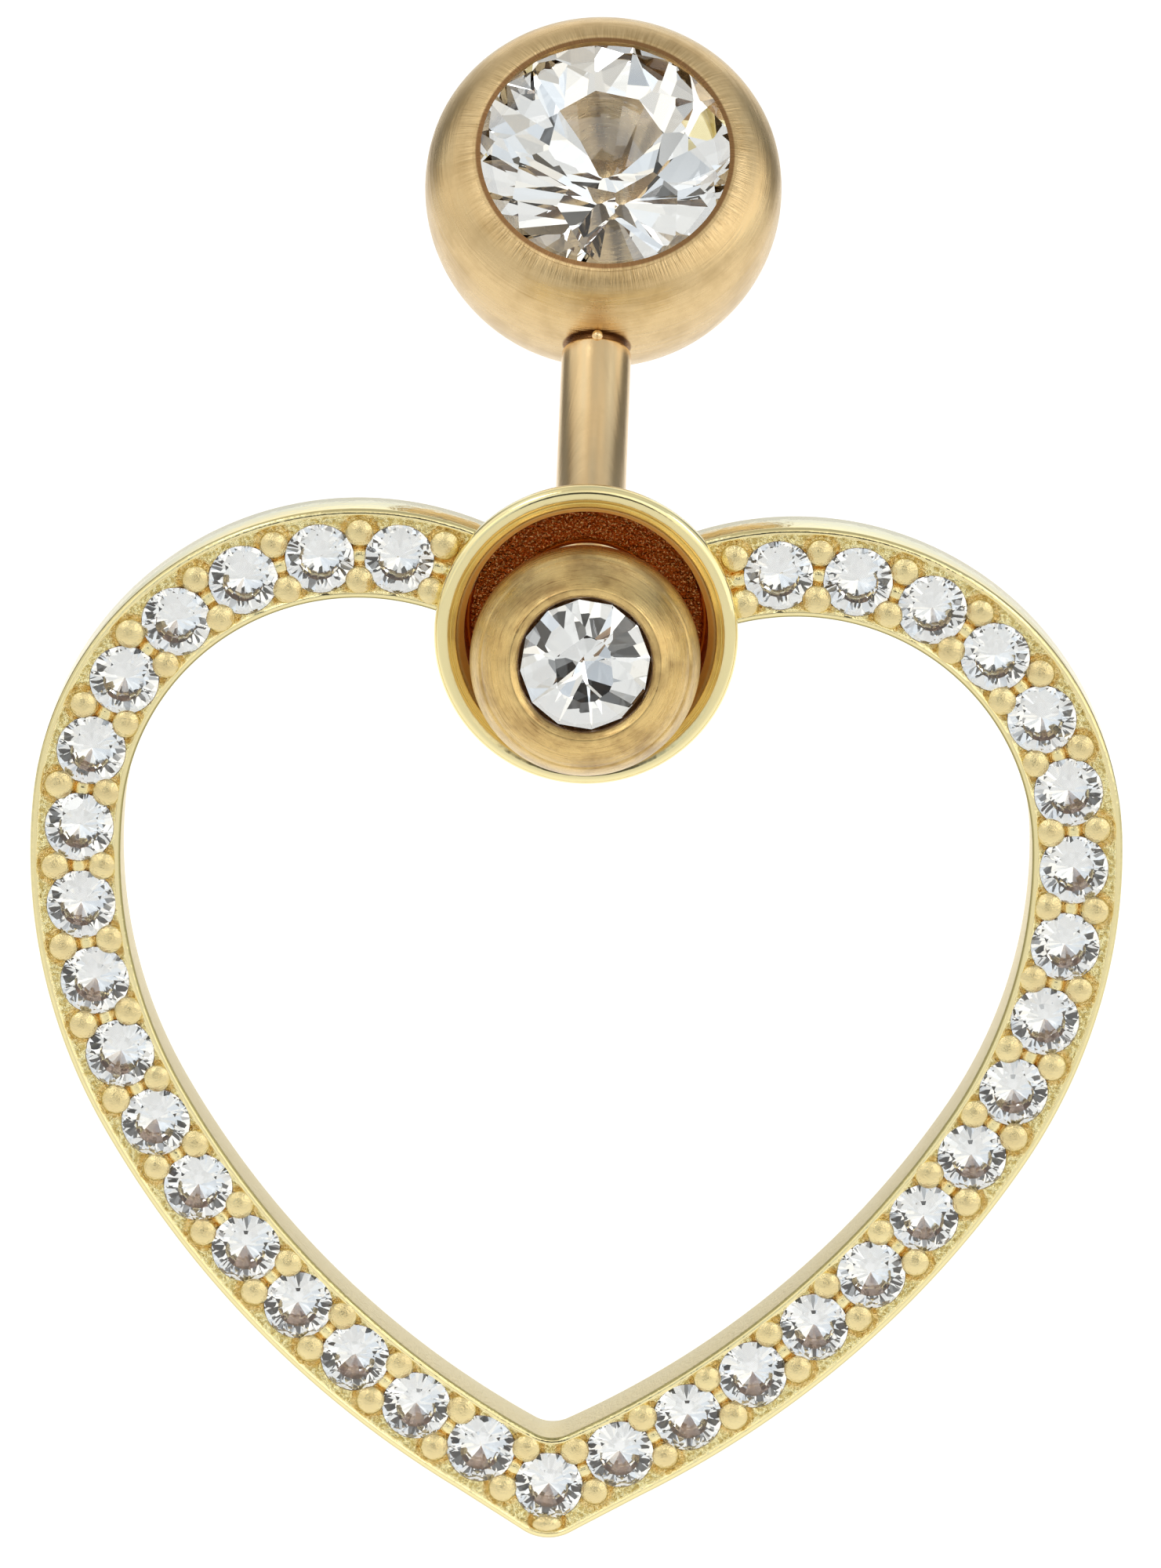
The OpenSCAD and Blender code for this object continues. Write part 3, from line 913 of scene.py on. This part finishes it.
def cut_stone(name, d, place, crown_h, facets, uneven, seed, outline=48, girdle=0.03):
    """A stone with its table up and its girdle at height 0. Heights and rings are shares of its width."""
    r, half = d / 2, girdle * d / 2
    chance = np.random.default_rng(seed)
    work = bmesh.new()
    bmesh.ops.create_cone(work, cap_ends=True, segments=outline, radius1=r, radius2=r, depth=2 * d)
    top = half + crown_h * d
    planes = [(Vector((0, 0, top)), Vector((0, 0, 1)), 0)]
    for side, slope, way, ring_r, ring_h, group in facets:
        lean = math.radians(slope + chance.normal() * uneven)
        out = Vector((math.cos(way), math.sin(way), 0))
        point = out * ring_r * d + Vector((0, 0, side * (half + ring_h * d)))
        planes.append((point, out * math.sin(lean) + Vector((0, 0, side * math.cos(lean))), group))
    for point, normal, group in planes:
        whole = work.verts[:] + work.edges[:] + work.faces[:]
        values = {"dist": 1e-6, "plane_co": point, "plane_no": normal, "clear_outer": True}
        cut = bmesh.ops.bisect_plane(work, geom=whole, **values)
        rim = [edge for edge in cut["geom_cut"] if isinstance(edge, bmesh.types.BMEdge)]
        if len(rim) > 2:
            for face in bmesh.ops.edgeloop_fill(work, edges=rim)["faces"]:
                face.material_index = group
    bmesh.ops.recalc_face_normals(work, faces=work.faces)
    mesh = bpy.data.meshes.new(name)
    work.to_mesh(mesh)
    work.free()
    mesh.transform(Matrix.Scale(MM, 4) @ place)
    mesh.shade_flat()
    print(f"{name}: {len(mesh.polygons)} facets")
    return mesh


def brilliant_facets(table, crown_h, crown, pavilion, lower, upper=40, star=22, mains=8):
    """The facets of a round brilliant: the stars from the table's ring, the rest from the girdle."""
    eighth = math.pi / 8
    facets = facets_of(1, crown, 0.5, 0, 8)
    facets += facets_of(1, upper, 0.5, 0, 16, eighth / 2)
    facets += facets_of(1, star, table / 2 * math.cos(eighth), crown_h, 8, eighth)
    facets += facets_of(-1, pavilion, 0.5, 0, mains, 0, 1)
    return facets + facets_of(-1, lower, 0.5, 0, 2 * mains, math.pi / mains / 2, 1)

# %% Set the heart's stones
stone_crown = 0.12
slopes = {"crown": 30, "upper": 36, "star": 20, "pavilion": 39.5, "lower": 40}
stone_cut = brilliant_facets(0.62, stone_crown, mains=16, **slopes)
stone_mesh = cut_stone("stone_shape", stone_d, lying, stone_crown, stone_cut, uneven=0.2, seed=5)
stone_mesh.polygons.foreach_set("material_index", [0] * len(stone_mesh.polygons))
girdle_places = stone_places.copy()
girdle_places[:, 1] = face_y + girdle_depth
stones_mesh = scattered(
    "heart_stones", stone_mesh, girdle_places, cubic_glass, np.ones(girdle_places.shape),
    Lean=0.02, Turn=math.pi, Change=0.002, Seed=11,
)
add_piece("heart_stones", stones_mesh, cubic_glass, "charm", "clear_stone", *stone_names)

# %% [markdown]
# The large gem ball
# The large ball is a sphere with a flattened face, a soft rounded lip that catches the light,
# and a deep seat. Its gem leans with the bar's end.

# %% Turn the large ball and cut its gem


def add_gem(name, d, ball_place, girdle_h, turn, crown_h, facets, body, node, **cut):
    """Cuts a gem, sets it in its ball turned by some degrees, and puts foil on its lower facets."""
    place = ball_place @ Matrix.Translation((0, 0, girdle_h)) @ Matrix.Rotation(math.radians(turn), 4, "Z")
    mesh = cut_stone(name, d, place, crown_h, facets, **cut)
    add_piece(name, mesh, [gem_glass, foil], body, "clear_stone", node)


large_lip, large_stone_d = 1.88, 5.95
large_seat_r = large_stone_d / 2 + 0.03
large_girdle = large_lip - 0.5
seat_low = large_girdle - 0.12
lip_round, lip_slope = 1.5, 10
lip_tilt = math.radians(lip_slope)
lip_reach = large_seat_r * math.sin(lip_tilt) + (large_lip - 0.06) * math.cos(lip_tilt)
lip_turn = math.radians(90 - lip_slope) - math.acos((lip_reach - lip_round) / (large_r - lip_round))
lip_r, lip_h = (large_r - lip_round) * math.cos(lip_turn), (large_r - lip_round) * math.sin(lip_turn)
large_profile = [
    (0, -large_r),
    *arc(0, 0, large_r, -89, math.degrees(lip_turn), 64),
    *arc(lip_r, lip_h, lip_round, math.degrees(lip_turn) + 3, 90 - lip_slope, 26),
    *arc(large_seat_r + 0.05, large_lip - 0.11, 0.05, 80, 180, 6),
    (large_seat_r, large_girdle + 0.1),
    (large_seat_r, seat_low),
    (large_seat_r * 0.08, seat_low - 3.0),
    (0, seat_low - 3.0),
]
large_place = turned_to(gem_tilt, large_centre)
large_crown = 0.15
large_cut = brilliant_facets(0.45, large_crown, crown=32, pavilion=44, lower=46)
add_turned(
    "large_ball_shell", large_profile, 192, large_place, large_gold,
    "bar", "satin_gold", "large_ball",
)
add_gem(
    "large_gem", large_stone_d, large_place, large_girdle, 12, large_crown, large_cut,
    "bar", "large_stone", uneven=1.5, seed=2,
)

# %% [markdown]
# The small gem ball
# The small ball is turned the same way, with a faint ridge where its front was faced, a narrow
# lip, and a seat whose mouth slopes in to the gem. A bore at the back takes the bar's thread.

# %% Turn the small ball and cut its gem
small_lip, small_lip_r, small_stone_d = 1.86, 1.67, 2.8
small_seat_r = small_stone_d / 2 + 0.03
small_girdle = small_lip - 0.35
bore_r, bore_end = 0.83, -0.65
bore_h = -math.sqrt(small_r**2 - bore_r**2)
bore_turn = math.degrees(math.atan2(bore_h, bore_r))
ridge_r = 2.29
ridge_h = math.sqrt(small_r**2 - ridge_r**2)
ridge_turn = math.degrees(math.atan2(ridge_h, ridge_r))
small_profile = [
    (0, bore_end),
    (bore_r, bore_end),
    (bore_r, bore_h + 0.05),
    *arc(0, 0, small_r, bore_turn + 1.2, ridge_turn - 1.5, 44),
    (ridge_r - 0.005, ridge_h),
    (ridge_r - 0.035, ridge_h + 0.02),
    *arc(0, 0, small_r - 0.012, ridge_turn + 2.5, 46.5, 10),
    (small_lip_r - 0.005, small_lip - 0.022),
    (small_lip_r - 0.04, small_lip - 0.004),
    (small_lip_r - 0.07, small_lip - 0.012),
    (small_seat_r + 0.045, small_girdle + 0.26),
    (small_seat_r + 0.015, small_girdle + 0.21),
    (small_seat_r, small_girdle + 0.12),
    (small_seat_r, small_girdle - 0.07),
    (small_seat_r * 0.08, small_girdle - 1.48),
    (0, small_girdle - 1.48),
]
small_place = turned_to(math.pi / 2 - front_tilt, small_centre)
small_cut = facets_of(1, 22, 0.5, 0, 12) + facets_of(-1, 43.5, 0.5, 0, 12, math.pi / 12, 1)
add_turned(
    "small_ball_shell", small_profile, 144, small_place, small_gold,
    "screw_ball", "satin_gold", "small_ball",
)
add_gem(
    "small_gem", small_stone_d, small_place, small_girdle, 8, 0.10, small_cut,
    "screw_ball", "small_stone", outline=12, uneven=2.0, seed=8,
)

# %% [markdown]
# The bar
# The bar is a wire bent to an arc, straight where it passes through the cup. Curve to Mesh
# sweeps a round profile along such a path, and each point's radius makes the slimmer threaded
# end and the rounded shoulder under the large ball.

# %% Lay out the bar's path
bend_r, stem_r = 12.0, 0.8
thread_r, spigot_r, thread_root_r = 0.78, 0.6, 0.69
shoulder_r, seam_gap = 0.14, 0.08
slope_front, slope_back = -front_tilt, bend_turn - front_tilt
slope_mid = (slope_front + slope_back) / 2
ball_front = face_y - small_centre[1]
straight_len = (cup_back + ball_front) / math.cos(front_tilt) + 0.15


def bar_point(slope):
    """A place on the bar's bend, where the bar climbs at this slope."""
    rise = math.cos(slope_mid) - math.cos(slope)
    return bend_r * np.array([0, math.sin(slope) - math.sin(slope_mid), rise])


def ahead(slope):
    return np.array([0, math.cos(slope), math.sin(slope)])


thread_start = small_r - 1.7
bar_front, bar_back = bar_point(slope_front), bar_point(slope_back)
tip_reach = straight_len - thread_start
front = [(tip_reach, 0.0), (tip_reach, 0.55), (tip_reach - 0.12, thread_root_r)]
root_end = straight_len - small_r - 0.12
front += [(reach, thread_root_r) for reach in np.linspace(tip_reach - 0.3, root_end, 6)]
front += [(straight_len - small_r - 0.2, thread_r), (0.12, thread_r)]
path = [(bar_front - reach * ahead(slope_front), radius) for reach, radius in front]
bend_end = slope_back - (shoulder_r + seam_gap + 0.02) / bend_r
path += [(bar_point(slope), stem_r) for slope in np.linspace(slope_front, bend_end, 70)]
for turn in np.radians(np.linspace(0, 90, 7)):
    reach = shoulder_r * (1 - math.sin(turn)) + seam_gap
    path.append((bar_back - reach * ahead(slope_back), stem_r - shoulder_r * (1 - math.cos(turn))))
path += [(bar_back + 1.2 * ahead(slope_back), radius) for radius in (spigot_r, 0.0)]
print("bar path", len(path), "points")

# %% Sweep a round profile along the path


def sweep_tree():
    start, given = new_tree("sweep_round", Sides="Int", Finish="Material")
    line = start.node("GeometryNodeMeshToCurve", values={"Mesh": given["Geometry"]})
    wide = start.node("GeometryNodeInputNamedAttribute", {"data_type": "FLOAT"}, {"Name": "wide"})
    values = {"Resolution": given["Sides"], "Radius": 1.0}
    profile = start.node("GeometryNodeCurvePrimitiveCircle", values=values)
    values = {"Curve": line, "Profile Curve": profile, "Scale": wide}
    return close_tree(start.node("GeometryNodeCurveToMesh", values=values), given["Finish"])


def add_swept(name, points, radii, sides, sharp):
    """Sweeps a round along a path in millimetres and adds it as a piece of the bar."""
    line = bare_mesh(name + "_path", points, [(k, k + 1) for k in range(len(points) - 1)])
    set_number(line, "wide", np.array(radii, np.float32) * MM)
    mesh = grown(name, line, sweep, Sides=sides, Finish=bar_gold)
    add_piece(name, finished(mesh, sharp, join=1e-8), bar_gold, "bar", "satin_gold", "stem")


sweep = sweep_tree()
bar_gold = satin_gold("satin_gold_bar", large_centre, gem_tilt, 0.1, face_h=9.0, worn=0.1, brushed=0.3)
add_swept("bar_stem", [p for p, _ in path], [max(r, 1e-6) for _, r in path], sides=64, sharp=50)

# %% [markdown]
# The thread and the weld
# The small ball screws onto a thread at the bar's front end. It shows when the ball is off, so
# it is a real helix, swept from a small round. A tiny blob of weld sits in the seam where the
# bar enters the large ball.

# %% Wind the thread and set the weld
pitch = 0.3
crest = (thread_r - thread_root_r) * 1.15
thread_len = 1.45
helix, helix_r = [], []
turns = np.linspace(0, thread_len / pitch, int(thread_len / pitch * 40))
for turn in turns:
    angle = turn * 2 * math.pi
    out = Vector((math.cos(angle), math.sin(angle), 0)) * (thread_r - crest)
    helix.append(out + Vector((0, 0, -turn * pitch)))
    fade = min(1.0, 3 * (turns[-1] - turn) + 0.02, 3 * turn + 0.02)
    helix_r.append(crest * fade)
thread_place = small_place @ Matrix.Translation((0, 0, -thread_start - 0.1))
add_swept("bar_thread", [thread_place @ p for p in helix], helix_r, sides=10, sharp=80)

weld_r = 0.135
weld_side = np.array([0, -math.sin(slope_back), math.cos(slope_back)])
weld_centre = bar_back - seam_gap * ahead(slope_back) + (stem_r - 0.03) * weld_side
weld_place = Matrix.Translation(Vector(weld_centre))
weld_profile = arc(0, 0, weld_r, -90, 90, 13)
add_turned("weld_blob", weld_profile, 20, weld_place, bar_gold, "bar", "satin_gold")

# %% [markdown]
# The studio
# Polished metal and cut stones show little but their surroundings. The studio is a white tent:
# bright above and behind, darker at the two sides, with a dark opening where the camera looks
# in, which the stones' black facets reflect. The floor is plain, nearly white and a little
# luminous, more so behind the jewel, where the photograph is pure white.

# %% Lay the floor
floor_z = -26.0
floor_half = 1500.0


def pale_floor():
    start, feed = shader("pale_floor")
    place = spot_mm(start)
    tone = noise(start, place, 0.01)
    x, y, _ = place.parts()
    behind = y.step(-70, 6) * (1 - start.maths("ABSOLUTE", x).step(60, 260))
    return feed(
        Base_Color=tone.mix((0.85, 0.85, 0.85, 1), (0.87, 0.87, 0.87, 1)),
        Roughness=0.9,
        Emission_Color=behind.mix((0.06, 0.06, 0.06, 1), (0.4, 0.4, 0.4, 1)),
        Emission_Strength=1.0,
    )


corners = [(x * floor_half, y * floor_half, floor_z) for x, y in ((-1, -1), (1, -1), (1, 1), (-1, 1))]
floor = placed("floor", make_mesh("floor", corners, [(0, 1, 2, 3)]))
floor.data.materials.append(pale_floor())
print("floor at", floor_z)

# %% Light by direction
camera_azimuth = math.radians(-0.2)
camera_elevation = math.radians(12)
FRONT_LIGHT, BACK_LIGHT, TOP_LIGHT, WING_DARK, LENS_DARK = 1.1, 0.95, 0.8, 0.2, 0.03


def tent():
    """Brightness of the tent by direction. What the camera sees straight through is plain white."""
    world = bpy.data.worlds.new("tent")
    world.use_nodes = True
    tree = world.node_tree
    tree.nodes.clear()
    start = Wire(tree)
    way = start.node("ShaderNodeTexCoord", output="Generated")
    x, y, z = way.parts()
    side = start.maths("ABSOLUTE", start.maths("ARCTAN2", x, 0 - y))
    fore, aft = (side.step(math.radians(a), math.radians(b)) for a, b in ((104, 120), (138, 152)))
    wing = fore * (1 - aft) * (1 - z.step(0.45, 0.85))
    toward = (0, -math.cos(camera_elevation), math.sin(camera_elevation))
    values = {0: way, 1: toward}
    facing = start.node("ShaderNodeVectorMath", {"operation": "DOT_PRODUCT"}, values, output="Value")
    lens = facing.step(math.cos(math.radians(14)), math.cos(math.radians(10.5)))
    light = FRONT_LIGHT + (BACK_LIGHT - FRONT_LIGHT) * side.step(math.radians(140), math.radians(155))
    light = light + (TOP_LIGHT - light) * z.step(0.5, 0.9)
    light = light * (0.72 + 0.56 * noise(start, way, 1.7, 1).step(0.3, 0.7))
    light = light * (1 - (1 - WING_DARK) * wing) * (1 - (1 - LENS_DARK) * lens)
    tint = noise(start, way, 2.3, 1).step(0.35, 0.65).mix((0.90, 0.96, 1.0, 1), (1.0, 0.95, 0.84, 1))
    seen = start.node("ShaderNodeLightPath", output="Is Camera Ray")
    strength = light + (1.2 - light) * seen
    glow = start.node("ShaderNodeBackground", values={"Color": tint, "Strength": strength})
    glow.leave("ShaderNodeOutputWorld")
    bpy.context.scene.world = world
    print("tent of", len(tree.nodes), "nodes")


tent()

# %% Two soft lights


def soft_light(name, place_mm, width_mm, radiance):
    """A square light of an even radiance, facing the jewel."""
    light = bpy.data.lights.new(name, "AREA")
    light.shape = "SQUARE"
    light.size = width_mm * MM
    light.energy = radiance * math.pi * light.size**2
    lamp = placed(name, light)
    lamp.location = Vector(place_mm) * MM
    lamp.rotation_euler = (-Vector(place_mm)).to_track_quat("-Z", "Y").to_euler()
    print(name, "at", place_mm, "radiance", radiance)


soft_light("key_light", (-160, -200, 300), 110, 2.6)
soft_light("fill_light", (220, -160, 200), 90, 2.2)

# %% [markdown]
# The camera
# The photograph was taken from far away and a little above, so the camera has a long lens. It
# is rolled a little, because the jewel leans to the right there.

# %% Set the camera
image_height = 2000
sensor = 36.0
focal_px = 11600
camera_roll = math.radians(2.52)
camera_distance = 198.08
aim = Vector((0.0216, face_y, -3.34974))
level_reach = math.cos(camera_elevation)
back_x, back_y = math.sin(camera_azimuth) * level_reach, -math.cos(camera_azimuth) * level_reach
back = Vector((back_x, back_y, math.sin(camera_elevation)))
level = Vector((0, 0, 1)).cross(back).normalized()
up = back.cross(level)
right = level * math.cos(camera_roll) + up * math.sin(camera_roll)
up = back.cross(right)
camera_data = bpy.data.cameras.new("camera")
camera_data.sensor_fit = "AUTO"
camera_data.sensor_width = sensor
camera_data.lens = focal_px / image_height * sensor
camera_data.clip_start = 0.01
camera_data.clip_end = 10
camera = placed("camera", camera_data)
turn = Matrix((right, up, back)).transposed().to_4x4()
camera.matrix_world = Matrix.Translation((aim + back * camera_distance) * MM) @ turn
bpy.context.scene.camera = camera
print("camera at", tuple(camera.matrix_world.translation / MM), "lens", camera_data.lens)

# %% [markdown]
# Light paths
# Light crosses several facets and gold walls before it reaches the eye, so it is allowed more
# bounces than usual, or the stones and the cup would go dark.

# %% Set the light paths and finish
cycles = bpy.context.scene.cycles
cycles.max_bounces = 16
cycles.glossy_bounces = 10
cycles.transmission_bounces = 14
cycles.diffuse_bounces = 4
cycles.sample_clamp_indirect = 10
cycles.use_denoising = True
bpy.context.scene.view_settings.view_transform = "Standard"
